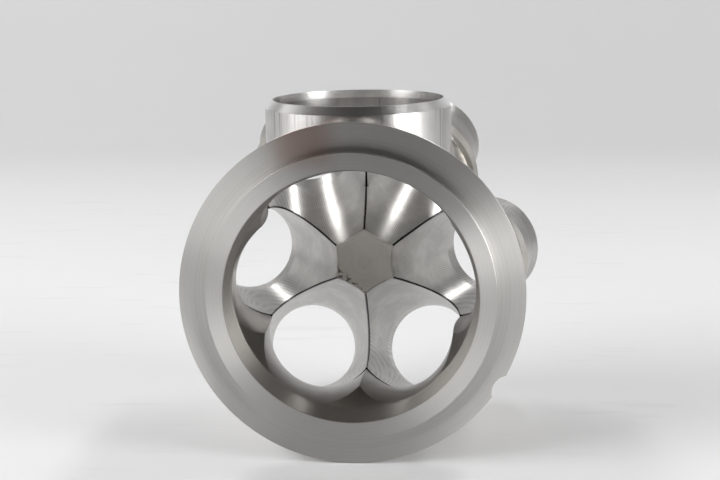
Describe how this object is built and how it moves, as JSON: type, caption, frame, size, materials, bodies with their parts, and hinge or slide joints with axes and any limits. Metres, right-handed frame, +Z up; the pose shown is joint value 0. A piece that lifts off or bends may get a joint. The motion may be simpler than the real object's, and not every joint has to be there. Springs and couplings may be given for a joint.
{
  "type": "exhaust collector",
  "caption": "Steel exhaust merge collector: splayed runner stubs blend through a lobed collar into a V-band outlet, with an upright wastegate branch.",
  "frame": {"origin": "centre of the outlet lip face", "axes": "+Y runs into the collector from the outlet, +Z runs up the wastegate branch, +X to the right when looking into the outlet"},
  "size_m": [0.1432, 0.112, 0.1346],
  "materials": {
    "turned_flange": "lathe-turned, bare",
    "collar": "smooth machined, bare",
    "milled_runner": "fine milled ripples, bare",
    "plug": "matte with circular rub marks",
    "pipe": "drawn pipe with a bright bevel",
    "weld": "weld filler, lightly rippled"
  },
  "bodies": {
    "root": {"outlet_flange": "turned_flange", "outlet_collar": "collar", "centre_plug": "plug", "wastegate_tube": "pipe", "runner_right": "milled_runner", "runner_upper_right": "milled_runner", "runner_upper_left": "milled_runner", "runner_left": "milled_runner", "runner_lower_left": "milled_runner", "runner_lower_right": "milled_runner", "flange_weld": "weld", "joint_weld": "weld", "plug_weld": "weld", "wastegate_weld": "weld", "seam_weld_upper_right": "weld", "seam_weld_top": "weld", "seam_weld_upper_left": "weld", "seam_weld_lower_left": "weld", "seam_weld_bottom": "weld", "seam_weld_lower_right": "weld"}
  },
  "joints": []
}
